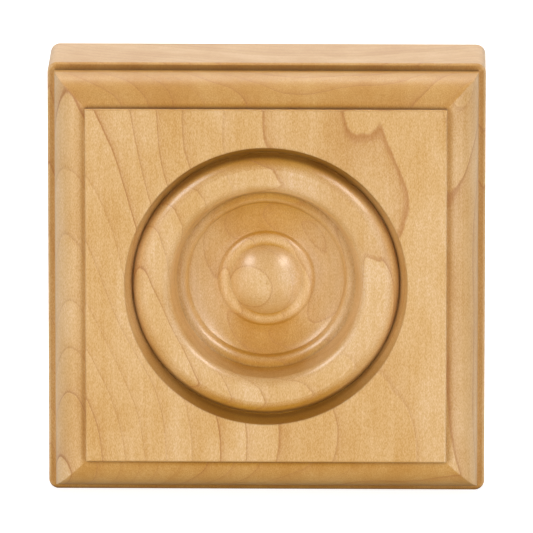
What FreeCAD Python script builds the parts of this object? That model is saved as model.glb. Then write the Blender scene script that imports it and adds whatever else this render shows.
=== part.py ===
"""Corner rosette block: a square hardwood trim block with a moulded edge and a turned bull's-eye.

The face looks along -Y and +Z is up. The origin is the centre of the back face, which goes against
the wall, so +Y points into the wall. All sizes are in millimetres.
"""
import FreeCAD, Part
import math
import os

import Sketcher

NODE = "rosette_block"
SHEET = "Sizes"

# Driving sizes. Depths of the bull's-eye are measured down from the raised field.
SIZES = {
    # The block
    "block_width": 88.9,
    "block_thickness": 28.575,
    "corner_radius": 2.0,
    # The edge moulding, from the side of the block inwards
    "ledge_width": 1.45,
    "ledge_step": 1.4,
    "ledge_easing": 0.4,
    "ovolo_radius": 6.35,
    "field_step": 1.2,
    "field_easing": 0.4,
    # The bull's-eye, from its middle outwards
    "button_drop": 3.75,
    "button_radius": 7.3,
    "button_foot_depth": 7.0,
    "ring_width": 2.6,
    "ring_bulge": 0.42,
    "dish_inner_depth": 8.0,
    "dish_width": 5.9,
    "dish_hollow": 0.85,
    "dish_outer_depth": 7.7,
    "ridge_width": 2.4,
    "ridge_bulge": 0.55,
    "ridge_foot_depth": 6.0,
    "flank_width": 1.2,
    "shoulder_depth": 1.8,
    "shoulder_width": 2.3,
    "shoulder_bulge": 0.34,
    "crown_inner_depth": 0.55,
    "crown_width": 2.5,
    "crown_outer_depth": 0.5,
    "roll_width": 2.9,
    "roll_bulge": 0.65,
    "groove_depth": 3.4,
    "groove_wall_width": 1.65,
    # How far each cutter starts clear of the block
    "cutter_clearance": 5.0,
}

# Each turned stretch outwards from the button: name, width, depth at its outer end (none for the
# field itself), the size that bows it, and which way it bows (1 out of the wood, -1 into it, 0 straight)
TURNED_STRETCHES = (
    ("ring", "ring_width", "dish_inner_depth", "ring_bulge", 1),
    ("dish", "dish_width", "dish_outer_depth", "dish_hollow", -1),
    ("ridge", "ridge_width", "ridge_foot_depth", "ridge_bulge", 1),
    ("flank", "flank_width", "shoulder_depth", None, 0),
    ("shoulder", "shoulder_width", "crown_inner_depth", "shoulder_bulge", 1),
    ("crown", "crown_width", "crown_outer_depth", None, 0),
    ("roll", "roll_width", "groove_depth", "roll_bulge", 1),
    ("wall", "groove_wall_width", None, None, 0),
)

SIDE_COUNT = 4
FULL_TURN = 360.0
TOLERANCE = 0.001

# Numbers that a sketch gives to its own origin, its first axis and the places on a curve
ORIGIN = (-1, 1)
DEPTH_AXIS = ORIGIN[0]
START, END, CENTRE = range(1, 4)

# Expressions that more than one dimension uses
HALF_WIDTH = "(Sizes.block_width / 2)"
SIDE_DEPTH = "(Sizes.block_thickness - Sizes.field_step - Sizes.ovolo_radius - Sizes.ledge_step)"


def make_sheet(doc):
    """Put the driving sizes in a spreadsheet, one named cell each."""
    sheet = doc.addObject("Spreadsheet::Sheet", SHEET)
    for row, (alias, value) in enumerate(SIZES.items(), start=1):
        sheet.set(f"A{row}", alias)
        sheet.set(f"B{row}", str(value))
        sheet.setAlias(f"B{row}", alias)
    doc.recompute()


def origin_feature(body, role):
    """Return the body's own origin plane or axis that has this role."""
    return next(item for item in body.Origin.OriginFeatures if item.Role == role)


def add_sketch(body, name, plane_role):
    """Add an empty sketch on one of the body's origin planes."""
    sketch = body.newObject("Sketcher::SketchObject", name)
    sketch.AttachmentSupport = (origin_feature(body, plane_role), [""])
    sketch.MapMode = "FlatFace"
    return sketch


def point(first, second):
    """A point or step in a sketch: along depth and up, or across and up on the face."""
    return FreeCAD.Vector(first, second, 0)


def left_of(start, end):
    """Unit vector to the left of the way from start to end."""
    way = end - start
    return point(-way.y, way.x) / way.Length


def bowed_arc(start, end, bulge):
    """Arc from start to end that bulges to the left, or to the right if bulge is below zero."""
    return Part.Arc(start, (start + end) / 2 + left_of(start, end) * bulge, end)


def bowed_radius(chord, bulge):
    """Radius of an arc that stands off the middle of its chord by bulge."""
    return chord ** 2 / (8 * bulge) + bulge / 2


def bowed_radius_expression(across, along, bulge):
    """The same radius as an expression, with the chord given by its two legs."""
    return f"(({across}) ^ 2 + ({along}) ^ 2) / (8 * {bulge}) + {bulge} / 2"


def add_path(sketch, start, stretches):
    """Add curves end to end from start. Return (number, start place, end place) of each one.

    A sketch turns every arc anticlockwise, so the two ends of an arc may come out swapped.
    """
    path = []
    here = start
    for curve, there in stretches:
        number = sketch.addGeometry(curve)
        swapped = sketch.getPoint(number, START).distanceToPoint(here) > TOLERANCE
        path.append((number, END, START) if swapped else (number, START, END))
        here = there
    return path


def add_lines(corners):
    """Straight stretches from each corner to the next."""
    return [(Part.LineSegment(a, b), b) for a, b in zip(corners, corners[1:])]


def join(sketch, kind, first, second):
    """Join the end of one curve of a path to the start of another."""
    sketch.addConstraint(Sketcher.Constraint(kind, first[0], first[2], second[0], second[1]))


def hold(sketch, kind, curves):
    """Hold straight curves of a path level or upright in their sketch."""
    for curve in curves:
        sketch.addConstraint(Sketcher.Constraint(kind, curve[0]))


def bind(sketch, name, kind, places, expression):
    """Add a named dimension to a sketch and tie it to the spreadsheet."""
    value = float(sketch.evalExpression(expression))
    index = sketch.addConstraint(Sketcher.Constraint(kind, *places, value))
    sketch.renameConstraint(index, name)
    sketch.setExpression(f"Constraints.{name}", expression)


def recompute_cut(body, volume_before):
    """Recompute the body and make sure that its last feature took wood away."""
    body.Document.recompute()
    if not body.Shape.Volume < volume_before:
        raise RuntimeError(f"{body.Tip.Name} cuts nothing")


def dress_edges(body, name, kind, dimension, expression, test):
    """Dress every edge of the body so far that passes the test, by a fillet or a chamfer."""
    base = body.Tip
    volume_before = body.Shape.Volume
    edges = [f"Edge{number}" for number, edge in enumerate(base.Shape.Edges, start=1) if test(edge)]
    dressing = body.newObject(f"PartDesign::{kind}", name)
    dressing.Base = (base, edges)
    dressing.setExpression(dimension, expression)
    recompute_cut(body, volume_before)


def add_blank(body):
    """The square blank, with the four edges of its outline rounded."""
    half = SIZES["block_width"] / 2
    corners = [point(-half, -half), point(half, -half), point(half, half), point(-half, half)]
    sketch = add_sketch(body, "BlankOutline", "XZ_Plane")
    sides = add_path(sketch, corners[0], add_lines(corners + corners[:1]))
    for side, following in zip(sides, sides[1:] + sides[:1]):
        join(sketch, "Coincident", side, following)
    bottom, right, top, left = sides
    hold(sketch, "Horizontal", (bottom, top))
    hold(sketch, "Vertical", (left, right))
    sketch.addConstraint(Sketcher.Constraint("Symmetric", bottom[0], START, top[0], START, *ORIGIN))
    bind(sketch, "width", "DistanceX", bottom[:1], "Sizes.block_width")
    bind(sketch, "height", "DistanceY", right[:1], "Sizes.block_width")

    blank = body.newObject("PartDesign::Pad", "Blank")
    blank.Profile = sketch
    blank.setExpression("Length", "Sizes.block_thickness")
    body.Document.recompute()

    def runs_front_to_back(edge):
        return abs(edge.BoundBox.YLength - SIZES["block_thickness"]) < TOLERANCE

    dress_edges(body, "RoundedCorners", "Fillet", "Radius", "Sizes.corner_radius", runs_front_to_back)


def edge_section(sketch):
    """Draw the waste above the edge moulding, seen from the side, at the top edge of the face."""
    half = SIZES["block_width"] / 2
    radius = SIZES["ovolo_radius"]
    front = -SIZES["block_thickness"] - SIZES["cutter_clearance"]
    foot = point(SIZES["field_step"] - SIZES["block_thickness"], half - SIZES["ledge_width"] - radius)
    centre = foot + point(radius, 0)
    crown = centre + point(0, radius)
    ledge_start = crown + point(SIZES["ledge_step"], 0)
    ledge_end = point(ledge_start.x, half + SIZES["cutter_clearance"])
    ovolo_middle = centre + point(-1, 1).normalize() * radius

    start = point(front, foot.y)
    path = add_path(sketch, start, [
        (Part.LineSegment(start, foot), foot),
        (Part.Arc(foot, ovolo_middle, crown), crown),
        *add_lines([crown, ledge_start, ledge_end, point(front, ledge_end.y), start]),
    ])
    field_wall, ovolo, ledge_wall, ledge, outside, closing = path
    for curve, following in zip(path, path[1:] + path[:1]):
        join(sketch, "Tangent" if curve == ovolo else "Coincident", curve, following)
    hold(sketch, "Horizontal", (field_wall, ledge_wall, outside))
    hold(sketch, "Vertical", (ledge, closing))
    sketch.addConstraint(Sketcher.Constraint("PointOnObject", ovolo[0], CENTRE, field_wall[0]))

    foot_place = ovolo[:2]
    start_place = field_wall[:2]
    ledge_place = ledge[:2]
    for name, kind, places, expression in (
        ("side_depth", "DistanceX", ledge_place + ORIGIN, SIDE_DEPTH),
        ("ledge_place", "DistanceY", ORIGIN + ledge_place, f"{HALF_WIDTH} - Sizes.ledge_width"),
        ("ledge_reach", "DistanceY", ledge[:1], "Sizes.ledge_width + Sizes.cutter_clearance"),
        ("ledge_step", "DistanceX", ledge_wall[:1], "Sizes.ledge_step"),
        ("field_reach", "DistanceX", start_place + foot_place, "Sizes.field_step + Sizes.cutter_clearance"),
        ("ovolo_radius", "Radius", ovolo[:1], "Sizes.ovolo_radius"),
    ):
        bind(sketch, name, kind, places, expression)


def cut_edge_moulding(body):
    """Cut the ledge, the ovolo and the step up to the field along the four edges of the face."""
    volume_before = body.Shape.Volume
    sketch = add_sketch(body, "EdgeSection", "YZ_Plane")
    edge_section(sketch)
    cut = body.newObject("PartDesign::Pocket", "EdgeCut")
    cut.Profile = sketch
    cut.SideType = "Symmetric"
    cut.setExpression("Length", "Sizes.block_width + 2 * Sizes.cutter_clearance")
    recompute_cut(body, volume_before)

    volume_before = body.Shape.Volume
    pattern = body.newObject("PartDesign::PolarPattern", "FourEdges")
    pattern.Originals = [cut]
    pattern.Axis = (origin_feature(body, "Y_Axis"), [""])
    pattern.Angle = FULL_TURN
    pattern.Occurrences = SIDE_COUNT
    body.Tip = pattern
    recompute_cut(body, volume_before)


def bullseye_section(sketch):
    """Draw half of the waste above the bull's-eye, from its axis to its rim."""
    face = -SIZES["block_thickness"]
    apex = point(face + SIZES["button_drop"], 0)
    here = point(face + SIZES["button_foot_depth"], SIZES["button_radius"])
    height = here.x - apex.x
    button_round = bowed_radius(2 * here.y, height)
    lean = math.asin(here.y / button_round) / 2
    button_middle = apex + point(1 - math.cos(lean), math.sin(lean)) * button_round
    stretches = [(Part.Arc(apex, button_middle, here), here)]
    for _, width, depth, bow, way in TURNED_STRETCHES:
        there = point(face + SIZES.get(depth, 0), here.y + SIZES[width])
        curve = bowed_arc(here, there, way * SIZES[bow]) if way else Part.LineSegment(here, there)
        stretches.append((curve, there))
        here = there
    clear = point(-SIZES["cutter_clearance"], 0)
    stretches += add_lines([here, here + clear, point(face, 0) + clear, apex])

    path = add_path(sketch, apex, stretches)
    for curve, following in zip(path, path[1:] + path[:1]):
        join(sketch, "Coincident", curve, following)
    button = path[0]
    turned = path[1:1 + len(TURNED_STRETCHES)]
    riser, closing, spindle = path[1 + len(TURNED_STRETCHES):]
    hold(sketch, "Horizontal", (riser,))
    hold(sketch, "Vertical", (closing,))
    for place in ((button[0], CENTRE), (spindle[0], START), (spindle[0], END)):
        sketch.addConstraint(Sketcher.Constraint("PointOnObject", *place, DEPTH_AXIS))

    def bind_outer_end(name, curve, width_expression, depth_expression):
        """Fix the outer end of a curve by its width and by its depth below the field."""
        number, inner_place, outer_place = curve
        places = (number, inner_place, number, outer_place)
        bind(sketch, f"{name}_width", "DistanceY", places, width_expression)
        places = (number, outer_place) + ORIGIN
        bind(sketch, f"{name}_place", "DistanceX", places, f"Sizes.block_thickness - {depth_expression}")

    bind(sketch, "apex_place", "DistanceX", button[:2] + ORIGIN, "Sizes.block_thickness - Sizes.button_drop")
    depth_before = "Sizes.button_foot_depth"
    bind_outer_end("button", button, "Sizes.button_radius", depth_before)
    for curve, (name, width, depth, bow, way) in zip(turned, TURNED_STRETCHES):
        depth_here = f"Sizes.{depth}" if depth else "0"
        bind_outer_end(name, curve, f"Sizes.{width}", depth_here)
        if way:
            fall = f"{depth_here} - {depth_before}"
            radius = bowed_radius_expression(f"Sizes.{width}", fall, f"Sizes.{bow}")
            bind(sketch, f"{name}_radius", "Radius", curve[:1], radius)
        depth_before = depth_here
    bind(sketch, "reach", "DistanceX", (riser[0], END, riser[0], START), "Sizes.cutter_clearance")


def turn_bullseye(body):
    """Turn the button, ring, dish, ridge, crown and groove into the field."""
    volume_before = body.Shape.Volume
    sketch = add_sketch(body, "BullseyeSection", "YZ_Plane")
    bullseye_section(sketch)
    turned = body.newObject("PartDesign::Groove", "Bullseye")
    turned.Profile = sketch
    turned.ReferenceAxis = (sketch, ["H_Axis"])
    turned.Angle = FULL_TURN
    recompute_cut(body, volume_before)


def ease_edges(body):
    """Take the sharpness off the ledge and the field."""
    half = SIZES["block_width"] / 2
    face = -SIZES["block_thickness"]
    foot = face + SIZES["field_step"]
    ledge = foot + SIZES["ovolo_radius"] + SIZES["ledge_step"]

    def lies_at(edge, depth):
        box = edge.BoundBox
        return max(abs(box.YMin - depth), abs(box.YMax - depth)) < TOLERANCE

    def is_ledge_rim(edge):
        reach = max(max(abs(vertex.X), abs(vertex.Z)) for vertex in edge.Vertexes)
        return lies_at(edge, ledge) and reach > half - TOLERANCE

    def is_field_rim(edge):
        return lies_at(edge, face) and isinstance(edge.Curve, Part.Line)

    dress_edges(body, "EasedLedge", "Chamfer", "Size", "Sizes.ledge_easing", is_ledge_rim)
    dress_edges(body, "EasedField", "Fillet", "Radius", "Sizes.field_easing", is_field_rim)


def check(doc, body):
    """Stop before anything is written if the model is not whole."""
    for item in doc.Objects:
        if {"Invalid", "Error"} & set(item.State):
            raise RuntimeError(f"{item.Name} failed: {item.State}")
    shape = body.Shape
    if shape.isNull() or not shape.isValid() or len(shape.Solids) != 1:
        raise RuntimeError(f"{body.Label} is not one valid solid")


def main():
    doc = FreeCAD.newDocument("RosetteBlock")
    make_sheet(doc)
    body = doc.addObject("PartDesign::Body", "RosetteBlock")
    body.Label = NODE
    add_blank(body)
    cut_edge_moulding(body)
    turn_bullseye(body)
    ease_edges(body)
    check(doc, body)
    os.makedirs("parts", exist_ok=True)
    body.Shape.exportStep(f"parts/{body.Label}.step")
    print(f"{body.Label}: {body.Shape.Volume:.0f} cubic millimetres, {len(body.Shape.Faces)} faces")


main()
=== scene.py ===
"""Corner rosette block in clear-finished maple, standing on a white studio floor.

The file is laid out as an add-on. The sizes and colours that a user may change are properties, one
operator dresses the block, one sets the stage, and a panel in the 3D view's sidebar lists both.
"""
import math
from collections import namedtuple

import bpy
from bpy.props import FloatProperty, FloatVectorProperty, PointerProperty
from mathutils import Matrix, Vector


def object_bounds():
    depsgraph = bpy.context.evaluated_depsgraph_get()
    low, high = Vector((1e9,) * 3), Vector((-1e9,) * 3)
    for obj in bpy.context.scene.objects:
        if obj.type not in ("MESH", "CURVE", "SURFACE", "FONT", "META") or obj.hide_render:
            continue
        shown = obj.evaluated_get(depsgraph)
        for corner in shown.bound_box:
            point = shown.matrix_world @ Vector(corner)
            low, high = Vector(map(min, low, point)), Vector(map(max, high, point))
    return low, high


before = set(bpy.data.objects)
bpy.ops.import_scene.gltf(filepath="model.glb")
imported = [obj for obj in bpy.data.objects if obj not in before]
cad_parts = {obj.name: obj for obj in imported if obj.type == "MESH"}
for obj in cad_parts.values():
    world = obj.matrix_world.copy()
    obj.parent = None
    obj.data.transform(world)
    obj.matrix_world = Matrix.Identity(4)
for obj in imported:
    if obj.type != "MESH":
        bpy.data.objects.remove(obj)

bl_info = {
    "name": "Corner Rosette Block",
    "version": (1, 0, 0),
    "blender": (4, 5, 0),
    "location": "3D View > Sidebar > Rosette",
    "description": "Dresses a turned corner block in maple and sets a white studio round it",
    "category": "Object",
}

NODE = "rosette_block"
CAD_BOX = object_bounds()
MIDDLE = (CAD_BOX[0] + CAD_BOX[1]) / 2
MM_PER_M = 1000.0

# Where the face's forms lie, in millimetres: from its middle, and from the back for the front's end
FIELD_HALF = 36.65
GROOVE_RADIUS = 27.1
RIM_RADIUS = 28.75
FRONT_END = -18.9

# Where each tone of the face, painted shade and sheen too, sets in or dies out, in millimetres
FRONT_SPAN = (FRONT_END - 0.3, FRONT_END + 0.3)
FOOT_SPAN = (-44.2, -43.3)
MITRE_SPAN = (0.0, 0.3)
DIAGONAL_SPAN = (-0.3, 0.3)
DISH_SPAN = (6.0, 8.0)
BUTTON_SPAN = (6.5, 8.5)
ROLL_SPAN = (20.0, 25.0)
ROLL_END_SPAN = (GROOVE_RADIUS - 1.0, GROOVE_RADIUS)
WALL_SPAN = (GROOVE_RADIUS - 0.8, GROOVE_RADIUS)
RIM_SPAN = (RIM_RADIUS - 0.2, RIM_RADIUS + 0.3)
OUTSIDE_SPAN = (RIM_RADIUS + 1.0, RIM_RADIUS + 3.0)

# Painted sheen: how much lighter the turned roll and the button are
ROLL_SHEEN = 0.06
BUTTON_SHEEN = 0.05

# Reach of the two measures of openness, in metres, and the openness at which each painted shade
# sets in
HOLLOW_REACH = 0.007
CREASE_REACH = 0.003
OPENNESS_SAMPLES = 16
HOLLOW_SPAN = (0.88, 0.995)
CREASE_SPAN = (0.44, 0.84)
EDGE_CREASE_SPAN = (0.60, 0.95)
DEEP_CREASE_SPAN = (0.05, 0.40)
DEEP_CREASE_SHARE = (0.2, 1.0)

# Shares of the amber tone, painted shade where it lies in hollows: in the bull's-eye, and at its
# least on the button and in the dish, and along the edges; and the wood's own amber on the
# mouldings that cross the fibres and on end grain
HOLLOW_SHADE_CROSSING = (0.45, 1.0)
LEAST_HOLLOW_SHADE = (0.10, 0.36)
EDGE_HOLLOW_SHADE = 0.55
MOULDING_SOAK = 0.65
END_GRAIN_SOAK = 0.45
END_GRAIN_SPAN = (0.08, 0.60)

# Shares of the painted shade: by how nearly the fibres are crossed, inside the roll, on the
# groove's outer wall, and a painted shadow along the foot of the face
DARK_CROSSING = (0.30, 1.0)
DARK_SHARE = (0.15, 1.0)
INNER_SHARE = (0.60, 1.0)
WALL_SHADE = 0.60
FOOT_SHADOW = 0.85

# How fast each figure of the wood changes, per millimetre across, into and along the block
SLOW_BEND_RATE = (0.030, 0.030, 0.016)
FINE_BEND_RATE = (0.16, 0.16, 0.045)
CLOUD_RATE = (0.10, 0.10, 0.045)
FIBRE_RATE = (1.6, 1.6, 0.05)
FLECK_RATE = (7.5, 7.5, 2.2)
FIGURE_ROUGHNESS = 0.6

# Growth rings: where the slow noise starts, how far each noise bends a ring in millimetres, and the
# shape and strength of the line within a year that runs from 0 to 1
GRAIN_START = (8.3, 4.4, 2.2)
SLOW_BEND = 14.0
FINE_BEND = 0.75
LATE_GROWTH_POWER = 5.0
LATE_GROWTH_STRENGTH = 0.55
LINE_RISE = (0.89, 0.97)
LINE_FALL = (0.97, 0.995)
YEAR_STRENGTH = (0.30, 1.0)
RING_STRENGTH = 0.95

# Range of the tone that each figure gives, and the power of the tone in red, green and blue
NOISE_SPAN = (0.25, 0.75)
CLOUD_TONE = (0.88, 1.09)
YEAR_TONE = (0.95, 1.04)
FIBRE_TONE = (0.96, 1.04)
FLECK_TONE = (0.85, 1.13)
TINT_POWERS = (0.7, 1.3, 3.0)

# Surface of the finish, with lengths in metres
FLECK_ROUGHNESS = 0.12
EDGE_SOFTENING = 0.0005
EDGE_SAMPLES = 6
BUMP_STRENGTH = 0.06
BUMP_DEPTH = 0.0001

# Levels of the floor and of the surroundings
FLOOR_MIRRORED = (0.50, 0.50, 0.50, 1.0)
FLOOR_SHADED = (0.4, 0.4, 0.4, 1.0)
FLOOR_GLOW = 0.89
WHITE = (1.0, 1.0, 1.0, 1.0)
MIRRORED_SPAN = (-0.75, -0.10)
MIRRORED_LEVEL = (0.40, 0.75)

# Lamps: the way to each from the block, its side in metres, the property that holds its power, and
# whether it shows in the finish (if not, it lights the wood)
Lamp = namedtuple("Lamp", "name direction size power mirrored")
LAMP_DISTANCE = 0.9
LAMPS = (
    Lamp("key_left", (-0.70, -0.71, 0.0), 0.60, "key_power", False),
    Lamp("rim_left", (-0.94, 0.35, 0.0), 0.40, "rim_power", True),
    Lamp("glint_left", (-0.64, -0.54, 0.55), 0.34, "glint_power", True),
    Lamp("key_right", (0.70, -0.71, 0.0), 0.60, "key_power", False),
    Lamp("rim_right", (0.94, 0.35, 0.0), 0.40, "rim_power", True),
    Lamp("glint_right", (0.64, -0.54, 0.55), 0.34, "glint_power", True),
    Lamp("crown", (0.0, 0.35, 0.94), 0.40, "crown_power", False),
    Lamp("back", (0.0, 0.95, 0.30), 0.60, "back_power", False),
    Lamp("sheen", (0.0, 0.35, 0.94), 0.40, "sheen_power", True),
)

SENSOR_WIDTH = 36.0
NEAREST_SEEN = 0.05
FARTHEST_SEEN = 50.0

FaceMasks = namedtuple("FaceMasks", "crossing outside moulding wall inner polish foot ends least")


class MapleProperties(bpy.types.PropertyGroup):
    """Colours, grain and finish of the maple."""

    side_grain: FloatVectorProperty(
        name="Side grain", description="Colour of the wood where a surface runs along the fibres",
        subtype="COLOR", min=0.0, max=1.0, default=(0.700, 0.430, 0.178))
    end_grain: FloatVectorProperty(
        name="End grain", description="Colour of the wood where a surface cuts across the fibres",
        subtype="COLOR", min=0.0, max=1.0, default=(0.510, 0.237, 0.026))
    # Painted shade: the colour painted in creases, on the groove's outer wall and along the foot
    recess_shade: FloatVectorProperty(
        name="Recess", description="Colour of the wood where the finish gathers in grooves",
        subtype="COLOR", min=0.0, max=1.0, default=(0.260, 0.115, 0.017))
    ring_line: FloatVectorProperty(
        name="Ring line", description="Colour of the thin line that ends each year's growth",
        subtype="COLOR", min=0.0, max=1.0, default=(0.460, 0.195, 0.050))
    ring_spacing: FloatProperty(
        name="Ring spacing", description="Growth of the tree in one year, in millimetres",
        min=0.5, max=20.0, default=2.9)
    pith_across: FloatProperty(
        name="Pith across",
        description="Place of the tree's centre across the face, in millimetres", default=27.0)
    pith_behind: FloatProperty(
        name="Pith behind",
        description="Depth of the tree's centre behind the back, in millimetres", default=60.0)
    lean: FloatProperty(
        name="Lean", description="How far the fibres step to the left for each step up",
        default=0.30)
    roughness: FloatProperty(
        name="Roughness", description="Roughness of the finish", subtype="FACTOR",
        min=0.0, max=1.0, default=0.38)
    coat: FloatProperty(
        name="Coat", description="Weight of the clear coat", subtype="FACTOR",
        min=0.0, max=1.0, default=0.50)
    coat_roughness: FloatProperty(
        name="Coat roughness", description="Roughness of the clear coat", subtype="FACTOR",
        min=0.0, max=1.0, default=0.22)


class StageProperties(bpy.types.PropertyGroup):
    """Floor, lights and camera."""

    floor_size: FloatProperty(
        name="Floor size", description="Length of each side of the floor", subtype="DISTANCE",
        min=0.5, default=8.0)
    sky_strength: FloatProperty(
        name="Sky strength", description="Strength of the even light from all round",
        min=0.0, default=0.30)
    key_power: FloatProperty(
        name="Key power", description="Power of each of the two wide side lamps", subtype="POWER",
        min=0.0, default=5.2)
    glint_power: FloatProperty(
        name="Glint power", description="Power of each of the two small lamps high at the sides",
        subtype="POWER", min=0.0, default=3.2)
    crown_power: FloatProperty(
        name="Crown power", description="Power of the lamp above and behind", subtype="POWER",
        min=0.0, default=6.0)
    back_power: FloatProperty(
        name="Back power", description="Power of the wide lamp behind the block", subtype="POWER",
        min=0.0, default=5.6)
    rim_power: FloatProperty(
        name="Rim power", description="Power of each of the two lamps that the side edges mirror",
        subtype="POWER", min=0.0, default=0.8)
    sheen_power: FloatProperty(
        name="Sheen power", description="Power of the lamp that the top edges mirror",
        subtype="POWER", min=0.0, default=3.4)
    azimuth: FloatProperty(
        name="Azimuth", description="Camera's turn round the block, to the right of its front",
        subtype="ANGLE", default=math.radians(0.9))
    elevation: FloatProperty(
        name="Elevation", description="Camera's height above the horizon",
        subtype="ANGLE", default=math.radians(12.7))
    distance: FloatProperty(
        name="Distance", description="From the camera to the middle of the block",
        subtype="DISTANCE", min=0.2, default=2.2)
    view_width: FloatProperty(
        name="View width", description="Width of the picture at the middle of the block",
        subtype="DISTANCE", min=0.02, default=0.1087)
    aim: FloatVectorProperty(
        name="Aim", description="Where the camera looks, from the middle of the block",
        subtype="TRANSLATION", unit="LENGTH", default=(-0.0001, 0.0, 0.0010))


class Shader:
    """A material's or a world's node tree, with one short call for each kind of node in use."""

    def __init__(self, owner):
        owner.use_nodes = True
        self.tree = owner.node_tree
        self.tree.nodes.clear()

    def fill(self, socket, value):
        """Give an input a plain value, or link it from a socket."""
        if isinstance(value, bpy.types.NodeSocket):
            self.tree.links.new(value, socket)
        else:
            socket.default_value = value

    def node(self, kind, inputs=None, **settings):
        """Add a node with its settings and inputs."""
        node = self.tree.nodes.new(kind)
        for name, value in settings.items():
            setattr(node, name, value)
        for name, value in (inputs or {}).items():
            self.fill(node.inputs[name], value)
        return node

    def math(self, operation, first, second=0.0, third=0.0):
        """One sum on two or three values."""
        inputs = {0: first, 1: second, 2: third}
        return self.node("ShaderNodeMath", inputs, operation=operation).outputs[0]

    def multiply(self, first, second):
        """The product of two values."""
        return self.math("MULTIPLY", first, second)

    def largest(self, first, second):
        """The larger of two values."""
        return self.math("MAXIMUM", first, second)

    def parts(self, vector):
        """The outputs X, Y and Z of a vector."""
        return self.node("ShaderNodeSeparateXYZ", {0: vector}).outputs

    def noise(self, vector, detail, roughness=0.5):
        """Smooth noise from 0 to 1 over the given coordinates."""
        inputs = {"Vector": vector, "Scale": 1.0, "Detail": detail, "Roughness": roughness}
        return self.node("ShaderNodeTexNoise", inputs).outputs["Fac"]

    def stretch(self, vector, factors, start=(0.0, 0.0, 0.0)):
        """Coordinates multiplied by a factor along each axis, from a start."""
        inputs = {0: vector, 1: factors, 2: start}
        return self.node("ShaderNodeVectorMath", inputs, operation="MULTIPLY_ADD").outputs[0]

    def ramp(self, value, span, levels=(0.0, 1.0)):
        """A smooth step from the first level to the second over a span of the value."""
        inputs = {"Value": value, "From Min": span[0], "From Max": span[1],
                  "To Min": levels[0], "To Max": levels[1]}
        node = self.node("ShaderNodeMapRange", inputs, interpolation_type="SMOOTHSTEP")
        return node.outputs["Result"]

    def fade(self, value, span, level=1.0):
        """A smooth step from a level down to nothing over a span of the value."""
        return self.ramp(value, span, (level, 0.0))

    def openness(self, reach):
        """How open the surface is to its surroundings within a reach, from 0 to 1."""
        node = self.node("ShaderNodeAmbientOcclusion", {"Distance": reach},
                         samples=OPENNESS_SAMPLES, only_local=True)
        return node.outputs["AO"]

    def mix(self, factor, first, second):
        """Mix two colours. The node's colour inputs are the seventh and eighth."""
        node = self.node("ShaderNodeMix", data_type="RGBA")
        for index, value in ((0, factor), (6, first), (7, second)):
            self.fill(node.inputs[index], value)
        return node.outputs[2]


def opaque(colour):
    """A property's colour with full alpha."""
    return (*colour, 1.0)


def growth_rings(shader, place, props):
    """The tree's growth rings where the block's surface cuts them.

    Returns a mask of the thin line that ends each year, and a tone from 0 to 1 for each year. The
    rings are cylinders round the pith, bent by slow noise that changes least along the fibres.
    """
    slow = shader.noise(shader.stretch(place, SLOW_BEND_RATE, GRAIN_START), 1.0)
    fine = shader.noise(shader.stretch(place, FINE_BEND_RATE), 2.0)
    axes = shader.parts(place)
    across = shader.math("MULTIPLY_ADD", axes["Z"], props.lean, axes["X"])
    across = shader.math("SUBTRACT", across, props.pith_across)
    behind = shader.math("SUBTRACT", axes["Y"], props.pith_behind)
    squares = [shader.math("POWER", length, 2.0) for length in (across, behind)]
    radius = shader.math("SQRT", shader.math("ADD", *squares))
    radius = shader.math("MULTIPLY_ADD", slow, SLOW_BEND, radius)
    radius = shader.math("MULTIPLY_ADD", fine, FINE_BEND, radius)

    years = shader.math("DIVIDE", radius, props.ring_spacing)
    part = shader.math("FRACT", years)
    year = shader.math("FLOOR", years)
    late = shader.multiply(shader.math("POWER", part, LATE_GROWTH_POWER), LATE_GROWTH_STRENGTH)
    rise = shader.largest(late, shader.ramp(part, LINE_RISE))
    line = shader.multiply(rise, shader.fade(part, LINE_FALL))
    chance = shader.node("ShaderNodeTexWhiteNoise", {"W": year}, noise_dimensions="1D").outputs
    line = shader.multiply(line, shader.ramp(chance["Value"], (0.0, 1.0), YEAR_STRENGTH))
    tone = shader.node("ShaderNodeSeparateColor", {0: chance["Color"]}).outputs["Green"]
    return line, tone


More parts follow.
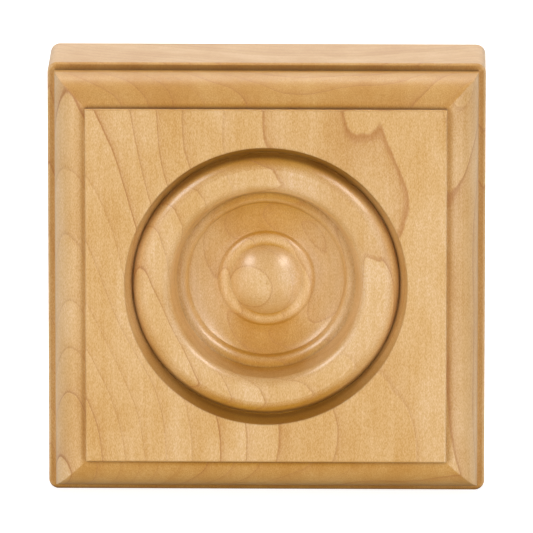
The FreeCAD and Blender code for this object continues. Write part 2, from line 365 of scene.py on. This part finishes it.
def face_masks(shader, place):
    """Masks of the face's forms, by place.

    crossing: how nearly the cutter crossed the fibres on its way round the axis
    outside: past the bull's-eye
    moulding: the mouldings that run across the fibres
    wall: the groove's outer wall, where painted shade lies
    inner: the share of painted shade and ring lines, less inside the roll
    polish: a factor of painted sheen that lightens the roll and the button
    foot: the lowest edge of the face, where a painted shadow lies
    ends: the bull's-eye, and what lies above and below it
    least: the least share of amber painted as shade in hollows, less on the button
    """
    axes = shader.parts(place)
    beside = shader.math("ABSOLUTE", axes["X"])
    above = shader.math("ABSOLUTE", axes["Z"])
    flat = shader.stretch(place, (1.0, 0.0, 1.0))
    radius = shader.node("ShaderNodeVectorMath", {0: flat}, operation="LENGTH").outputs["Value"]
    front = shader.fade(axes["Y"], FRONT_SPAN)
    outside = shader.ramp(radius, OUTSIDE_SPAN)
    past_mitre = shader.math("SUBTRACT", above, shader.largest(beside, FIELD_HALF))
    wall = shader.multiply(shader.ramp(radius, WALL_SPAN), front)
    # Painted sheen on the turned roll and the button
    polish = shader.math("ADD", shader.fade(radius, ROLL_END_SPAN, ROLL_SHEEN),
                         shader.fade(radius, BUTTON_SPAN, BUTTON_SHEEN))
    ends = shader.ramp(shader.math("SUBTRACT", above, beside), DIAGONAL_SPAN)
    return FaceMasks(
        crossing=shader.math("DIVIDE", above, radius),
        outside=outside,
        moulding=shader.multiply(front, shader.ramp(past_mitre, MITRE_SPAN)),
        wall=shader.multiply(wall, shader.fade(radius, RIM_SPAN)),
        inner=shader.ramp(radius, ROLL_SPAN, INNER_SHARE),
        polish=shader.math("MULTIPLY_ADD", polish, front, 1.0),
        foot=shader.multiply(front, shader.fade(axes["Z"], FOOT_SPAN)),
        ends=shader.largest(ends, shader.math("SUBTRACT", 1.0, outside)),
        least=shader.ramp(radius, DISH_SPAN, LEAST_HOLLOW_SHADE))


def hollow_shade_and_end_grain(shader, masks, normal):
    """Amber as painted shade in hollows, and the wood's own amber on end grain and on the
    mouldings.
    """
    upright = shader.math("ABSOLUTE", shader.parts(normal)["Z"])
    end_grain = shader.ramp(upright, END_GRAIN_SPAN)
    share = shader.largest(shader.ramp(masks.crossing, HOLLOW_SHADE_CROSSING), masks.least)
    share = shader.largest(share, shader.multiply(masks.outside, EDGE_HOLLOW_SHADE))
    # Painted shade: amber where hollows close the surface in
    amber = shader.multiply(shader.fade(shader.openness(HOLLOW_REACH), HOLLOW_SPAN), share)
    amber = shader.largest(amber, shader.multiply(masks.moulding, MOULDING_SOAK))
    return shader.largest(amber, shader.multiply(end_grain, END_GRAIN_SOAK))


def painted_shade_share(shader, masks):
    """Painted shade in creases and on the groove's outer wall, and a painted shadow along the foot.
    """
    crease = shader.openness(CREASE_REACH)
    dark = shader.multiply(shader.fade(crease, CREASE_SPAN), masks.inner)
    edge = shader.multiply(shader.fade(crease, EDGE_CREASE_SPAN), masks.outside)
    dark = shader.largest(dark, edge)
    dark = shader.multiply(dark, shader.ramp(crease, DEEP_CREASE_SPAN, DEEP_CREASE_SHARE))
    # Painted shade on the groove's outer wall
    dark = shader.largest(dark, shader.multiply(masks.wall, WALL_SHADE))
    share = shader.ramp(masks.crossing, DARK_CROSSING, DARK_SHARE)
    dark = shader.multiply(dark, shader.multiply(share, masks.ends))
    # Painted shadow along the foot of the face
    return shader.largest(dark, shader.multiply(masks.foot, FOOT_SHADOW))


def maple(props):
    """Clear-finished maple: growth rings, fibres and flecks in three dimensions, amber on end
    grain, and amber and dark as painted shade in hollows and creases.
    """
    material = bpy.data.materials.new("maple_clear_finish")
    shader = Shader(material)
    coordinates = shader.node("ShaderNodeTexCoord").outputs
    place = shader.stretch(coordinates["Object"], (MM_PER_M, MM_PER_M, MM_PER_M))
    masks = face_masks(shader, place)
    amber = hollow_shade_and_end_grain(shader, masks, coordinates["Normal"])
    dark = painted_shade_share(shader, masks)

    cloud = shader.noise(shader.stretch(place, CLOUD_RATE), 3.0, FIGURE_ROUGHNESS)
    fibre = shader.noise(shader.stretch(place, FIBRE_RATE), 3.0, FIGURE_ROUGHNESS)
    fleck = shader.noise(shader.stretch(place, FLECK_RATE), 1.0, FIGURE_ROUGHNESS)
    ring_line, year_tone = growth_rings(shader, place, props)

    # Amber: painted shade in hollows, and the wood's own colour on end grain and the mouldings
    colour = shader.mix(amber, opaque(props.side_grain), opaque(props.end_grain))
    ring_line = shader.multiply(shader.multiply(ring_line, masks.inner), RING_STRENGTH)
    colour = shader.mix(ring_line, colour, opaque(props.ring_line))
    # Painted shade in creases and on the groove's wall, and a painted shadow along the foot
    colour = shader.mix(dark, colour, opaque(props.recess_shade))

    tone = shader.ramp(cloud, NOISE_SPAN, CLOUD_TONE)
    tone = shader.multiply(tone, shader.ramp(year_tone, (0.0, 1.0), YEAR_TONE))
    # Painted sheen lightens the turned roll and the button
    tone = shader.multiply(tone, masks.polish)
    tone = shader.multiply(tone, shader.ramp(fibre, NOISE_SPAN, FIBRE_TONE))
    tone = shader.multiply(tone, shader.ramp(fleck, NOISE_SPAN, FLECK_TONE))
    powers = {index: shader.math("POWER", tone, power) for index, power in enumerate(TINT_POWERS)}
    tint = shader.node("ShaderNodeCombineXYZ", powers).outputs[0]
    toned = shader.node("ShaderNodeVectorMath", {0: colour, 1: tint}, operation="MULTIPLY")

    smoothest = props.roughness - FLECK_ROUGHNESS / 2
    softened = shader.node("ShaderNodeBevel", {"Radius": EDGE_SOFTENING}, samples=EDGE_SAMPLES)
    bump = shader.node("ShaderNodeBump", {
        "Strength": BUMP_STRENGTH, "Distance": BUMP_DEPTH,
        "Height": shader.math("ADD", fibre, fleck), "Normal": softened.outputs["Normal"]})
    surface = shader.node("ShaderNodeBsdfPrincipled", {
        "Base Color": toned.outputs[0],
        "Roughness": shader.math("MULTIPLY_ADD", fleck, FLECK_ROUGHNESS, smoothest),
        "Normal": bump.outputs["Normal"],
        "Coat Weight": props.coat, "Coat Roughness": props.coat_roughness})
    shader.node("ShaderNodeOutputMaterial", {"Surface": surface.outputs["BSDF"]})
    return material


def white_floor():
    """A floor that looks white and keeps the block's shadow. The finish mirrors it as grey."""
    material = bpy.data.materials.new("white_floor")
    shader = Shader(material)
    matt = shader.node("ShaderNodeBsdfDiffuse", {"Color": FLOOR_MIRRORED})
    white = shader.node("ShaderNodeBsdfDiffuse", {"Color": FLOOR_SHADED})
    glow = shader.node("ShaderNodeEmission", {"Strength": FLOOR_GLOW})
    lit = shader.node("ShaderNodeAddShader", {0: white.outputs[0], 1: glow.outputs[0]})
    seen = shader.node("ShaderNodeLightPath").outputs["Is Camera Ray"]
    shown = shader.node("ShaderNodeMixShader", {0: seen, 1: matt.outputs[0], 2: lit.outputs[0]})
    shader.node("ShaderNodeOutputMaterial", {"Surface": shown.outputs[0]})
    return material


def add_floor(size):
    """A square floor under the block. It neither keeps light from the block nor
    bounces any onto it.
    """
    half = size / 2
    level = CAD_BOX[0].z
    mesh = bpy.data.meshes.new("floor")
    corners = ((-half, -half), (half, -half), (half, half), (-half, half))
    mesh.from_pydata([(x, y, level) for x, y in corners], [], [(0, 1, 2, 3)])
    mesh.materials.append(white_floor())
    floor = bpy.data.objects.new("floor", mesh)
    floor.visible_diffuse = False
    floor.visible_shadow = False
    bpy.context.scene.collection.objects.link(floor)


def add_sky(strength):
    """Even light from all round. It looks white to the camera, and the finish mirrors it as pale at
    the sides, overhead and behind the block, and dimmer in front of it.
    """
    world = bpy.data.worlds.new("white_surroundings")
    shader = Shader(world)
    back = shader.parts(shader.node("ShaderNodeTexCoord").outputs["Generated"])["Y"]
    rays = shader.node("ShaderNodeLightPath").outputs
    mirrored = shader.ramp(back, MIRRORED_SPAN, MIRRORED_LEVEL)
    mirrored = shader.multiply(mirrored, rays["Is Glossy Ray"])
    lighting = shader.multiply(rays["Is Diffuse Ray"], strength)
    level = shader.largest(rays["Is Camera Ray"], shader.largest(mirrored, lighting))
    background = shader.node("ShaderNodeBackground", {"Color": WHITE, "Strength": level})
    shader.node("ShaderNodeOutputWorld", {"Surface": background.outputs[0]})
    bpy.context.scene.world = world


def add_lamp(kind, power):
    """A square soft lamp that faces the middle of the block."""
    lamp = bpy.data.lights.new(kind.name, "AREA")
    lamp.shape = "SQUARE"
    lamp.size = kind.size
    lamp.energy = power
    lamp_object = bpy.data.objects.new(kind.name, lamp)
    away = Vector(kind.direction).normalized()
    lamp_object.location = MIDDLE + away * LAMP_DISTANCE
    lamp_object.rotation_euler = away.to_track_quat("Z", "Y").to_euler()
    lamp_object.visible_camera = False
    lamp_object.visible_glossy = kind.mirrored
    lamp_object.visible_diffuse = not kind.mirrored
    bpy.context.scene.collection.objects.link(lamp_object)


def add_camera(props):
    """A long lens at the photograph's viewing angle."""
    camera = bpy.data.cameras.new("camera")
    camera.sensor_width = SENSOR_WIDTH
    camera.lens = camera.sensor_width * props.distance / props.view_width
    camera.clip_start = NEAREST_SEEN
    camera.clip_end = FARTHEST_SEEN
    away = Vector((
        math.sin(props.azimuth) * math.cos(props.elevation),
        -math.cos(props.azimuth) * math.cos(props.elevation),
        math.sin(props.elevation)))
    camera_object = bpy.data.objects.new("camera", camera)
    camera_object.location = MIDDLE + Vector(props.aim) + away * props.distance
    camera_object.rotation_euler = away.to_track_quat("Z", "Y").to_euler()
    bpy.context.scene.collection.objects.link(camera_object)
    bpy.context.scene.camera = camera_object


class ROSETTE_OT_dress_block(bpy.types.Operator):
    """Give the turned block its clear-finished maple"""

    bl_idname = "rosette.dress_block"
    bl_label = "Dress the block"

    def execute(self, context):
        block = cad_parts[NODE]
        block.data.materials.clear()
        block.data.materials.append(maple(context.scene.rosette_maple))
        return {"FINISHED"}


class ROSETTE_OT_set_stage(bpy.types.Operator):
    """Set the floor, the lights and the camera"""

    bl_idname = "rosette.set_stage"
    bl_label = "Set the stage"

    def execute(self, context):
        props = context.scene.rosette_stage
        context.scene.view_settings.view_transform = "Standard"
        add_floor(props.floor_size)
        add_sky(props.sky_strength)
        for kind in LAMPS:
            add_lamp(kind, getattr(props, kind.power))
        add_camera(props)
        return {"FINISHED"}


class ROSETTE_PT_panel(bpy.types.Panel):
    """Lists the operators and their settings"""

    bl_idname = "ROSETTE_PT_panel"
    bl_label = "Corner Rosette Block"
    bl_space_type = "VIEW_3D"
    bl_region_type = "UI"
    bl_category = "Rosette"

    def draw(self, context):
        scene = context.scene
        for operator, props in (
                (ROSETTE_OT_dress_block, scene.rosette_maple),
                (ROSETTE_OT_set_stage, scene.rosette_stage)):
            box = self.layout.box()
            for name in props.__annotations__:
                box.prop(props, name)
            box.operator(operator.bl_idname)


CLASSES = (
    MapleProperties,
    StageProperties,
    ROSETTE_OT_dress_block,
    ROSETTE_OT_set_stage,
    ROSETTE_PT_panel,
)


def register():
    """Register the classes and their properties."""
    for cls in CLASSES:
        bpy.utils.register_class(cls)
    bpy.types.Scene.rosette_maple = PointerProperty(type=MapleProperties)
    bpy.types.Scene.rosette_stage = PointerProperty(type=StageProperties)


def unregister():
    """Remove what register added."""
    del bpy.types.Scene.rosette_stage
    del bpy.types.Scene.rosette_maple
    for cls in reversed(CLASSES):
        bpy.utils.unregister_class(cls)


def main():
    """Build the scene."""
    register()
    bpy.ops.rosette.dress_block()
    bpy.ops.rosette.set_stage()


if __name__ == "__main__":
    main()
